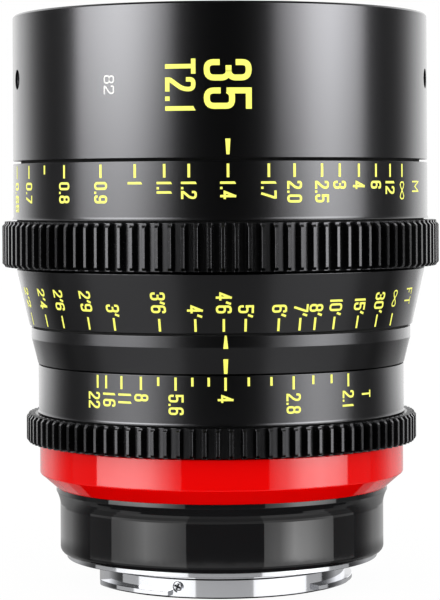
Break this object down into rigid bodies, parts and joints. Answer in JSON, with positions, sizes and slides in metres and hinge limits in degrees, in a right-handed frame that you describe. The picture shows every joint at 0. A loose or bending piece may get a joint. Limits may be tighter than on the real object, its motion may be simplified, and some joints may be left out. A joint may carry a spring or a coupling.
{
  "type": "cinema prime lens",
  "caption": "Prime lens for film cameras with toothed focus and iris rings, a red collar ring, a bladed iris, moving glass groups and a three-lug bayonet.",
  "frame": {"origin": "centre of the bayonet's rear face, where the lens stands on its mount", "axes": "+Z along the optical axis towards the front glass; -Y at the index line of the scales; +X to its right"},
  "size_m": [0.0896, 0.0896, 0.1157],
  "materials": {
    "black_anodised": "matte black anodised",
    "gloss_black": "glossy black",
    "red_anodised": "polished red anodised",
    "bayonet_chrome": "satin chrome on brass",
    "inner_black": "matte black anodised, inside",
    "matte_black": "flat black, anti-reflection",
    "steel": "stainless",
    "dark_steel": "blackened steel",
    "brass": "turned brass",
    "washer_plastic": "low-friction plastic",
    "glass": "coated optical glass"
  },
  "bodies": {
    "barrel": {"bayonet_mount": "bayonet_chrome", "mount_shim": "steel", "mount_screws": "steel", "rear_baffle": "matte_black", "baffle_screws": "steel", "rear_barrel": "gloss_black", "red_ring": "red_anodised", "main_barrel": "inner_black", "index_collar": "black_anodised", "collar_screws": "steel", "rear_thrust_washer": "washer_plastic", "front_thrust_washer": "washer_plastic", "front_cell": "inner_black", "front_cell_screws": "steel", "front_barrel": "black_anodised", "front_barrel_screws": "dark_steel", "front_retaining_ring": "matte_black", "front_trim_ring": "matte_black", "lens_element_1": "glass", "lens_element_2": "glass", "lens_element_3": "glass", "front_spacer": "inner_black", "second_spacer": "inner_black"},
    "focus": {"focus_ring": "black_anodised", "cam_sleeve": "brass", "cam_sleeve_screws": "steel"},
    "carriage": {"carriage": "inner_black", "cam_rollers": "brass", "roller_screws": "steel", "middle_cell": "inner_black", "lens_element_4": "glass", "lens_element_5": "glass", "middle_lock_ring": "inner_black", "iris_base_plate": "inner_black", "iris_plate_screws": "steel", "iris_retainer": "inner_black", "rear_cell": "inner_black", "lens_element_6": "glass", "lens_element_7": "glass", "rear_cell_front_ring": "inner_black", "lens_element_8": "glass", "lens_element_9": "glass", "rear_cell_spacer": "inner_black", "rear_cell_lock_ring": "matte_black"},
    "iris_ring": {"iris_ring": "black_anodised", "iris_drive_pin": "dark_steel"},
    "iris_rotor": {"iris_rotor": "brass"},
    "blade_01": {"iris_blade_01": "dark_steel"},
    "blade_02": {"iris_blade_02": "dark_steel"},
    "blade_03": {"iris_blade_03": "dark_steel"},
    "blade_04": {"iris_blade_04": "dark_steel"},
    "blade_05": {"iris_blade_05": "dark_steel"},
    "blade_06": {"iris_blade_06": "dark_steel"},
    "blade_07": {"iris_blade_07": "dark_steel"},
    "blade_08": {"iris_blade_08": "dark_steel"},
    "blade_09": {"iris_blade_09": "dark_steel"},
    "blade_10": {"iris_blade_10": "dark_steel"},
    "blade_11": {"iris_blade_11": "dark_steel"}
  },
  "joints": [
    {"name": "focus_turn", "type": "hinge", "parent": "barrel", "child": "focus", "pos_m": [0, 0, 0.069], "axis": [0, 0, 1], "range_deg": [-55.7, 74.7]},
    {"name": "carriage_slide", "type": "slide", "parent": "barrel", "child": "carriage", "axis": [0, 0, 1], "range_m": [-0.0009, 0.00121]},
    {"name": "iris_turn", "type": "hinge", "parent": "barrel", "child": "iris_ring", "pos_m": [0, 0, 0.037], "axis": [0, 0, 1], "range_deg": [-40.2, 40.8]},
    {"name": "rotor_turn", "type": "hinge", "parent": "carriage", "child": "iris_rotor", "pos_m": [0, 0, 0.049], "axis": [0, 0, 1], "range_deg": [-40.2, 40.8]},
    {"name": "blade_01_turn", "type": "hinge", "parent": "carriage", "child": "blade_01", "pos_m": [0.0185, 0, 0.0505], "axis": [0, 0, 1], "range_deg": [-16.4, 16.65]},
    {"name": "blade_02_turn", "type": "hinge", "parent": "carriage", "child": "blade_02", "pos_m": [0.01556, 0.01, 0.0505], "axis": [0, 0, 1], "range_deg": [-16.4, 16.65]},
    {"name": "blade_03_turn", "type": "hinge", "parent": "carriage", "child": "blade_03", "pos_m": [0.00769, 0.01683, 0.0505], "axis": [0, 0, 1], "range_deg": [-16.4, 16.65]},
    {"name": "blade_04_turn", "type": "hinge", "parent": "carriage", "child": "blade_04", "pos_m": [-0.00263, 0.01831, 0.0505], "axis": [0, 0, 1], "range_deg": [-16.4, 16.65]},
    {"name": "blade_05_turn", "type": "hinge", "parent": "carriage", "child": "blade_05", "pos_m": [-0.01211, 0.01398, 0.0505], "axis": [0, 0, 1], "range_deg": [-16.4, 16.65]},
    {"name": "blade_06_turn", "type": "hinge", "parent": "carriage", "child": "blade_06", "pos_m": [-0.01775, 0.00521, 0.0505], "axis": [0, 0, 1], "range_deg": [-16.4, 16.65]},
    {"name": "blade_07_turn", "type": "hinge", "parent": "carriage", "child": "blade_07", "pos_m": [-0.01775, -0.00521, 0.0505], "axis": [0, 0, 1], "range_deg": [-16.4, 16.65]},
    {"name": "blade_08_turn", "type": "hinge", "parent": "carriage", "child": "blade_08", "pos_m": [-0.01211, -0.01398, 0.0505], "axis": [0, 0, 1], "range_deg": [-16.4, 16.65]},
    {"name": "blade_09_turn", "type": "hinge", "parent": "carriage", "child": "blade_09", "pos_m": [-0.00263, -0.01831, 0.0505], "axis": [0, 0, 1], "range_deg": [-16.4, 16.65]},
    {"name": "blade_10_turn", "type": "hinge", "parent": "carriage", "child": "blade_10", "pos_m": [0.00769, -0.01683, 0.0505], "axis": [0, 0, 1], "range_deg": [-16.4, 16.65]},
    {"name": "blade_11_turn", "type": "hinge", "parent": "carriage", "child": "blade_11", "pos_m": [0.01556, -0.01, 0.0505], "axis": [0, 0, 1], "range_deg": [-16.4, 16.65]}
  ],
  "couplings": [
    {"joint": "carriage_slide", "follows": "focus_turn", "m_per_rad": 0.00092271},
    {"joint": "rotor_turn", "follows": "iris_turn", "ratio": 1},
    {"joint": "blade_01_turn", "follows": "iris_turn", "ratio": 0.40741},
    {"joint": "blade_02_turn", "follows": "iris_turn", "ratio": 0.40741},
    {"joint": "blade_03_turn", "follows": "iris_turn", "ratio": 0.40741},
    {"joint": "blade_04_turn", "follows": "iris_turn", "ratio": 0.40741},
    {"joint": "blade_05_turn", "follows": "iris_turn", "ratio": 0.40741},
    {"joint": "blade_06_turn", "follows": "iris_turn", "ratio": 0.40741},
    {"joint": "blade_07_turn", "follows": "iris_turn", "ratio": 0.40741},
    {"joint": "blade_08_turn", "follows": "iris_turn", "ratio": 0.40741},
    {"joint": "blade_09_turn", "follows": "iris_turn", "ratio": 0.40741},
    {"joint": "blade_10_turn", "follows": "iris_turn", "ratio": 0.40741},
    {"joint": "blade_11_turn", "follows": "iris_turn", "ratio": 0.40741}
  ]
}
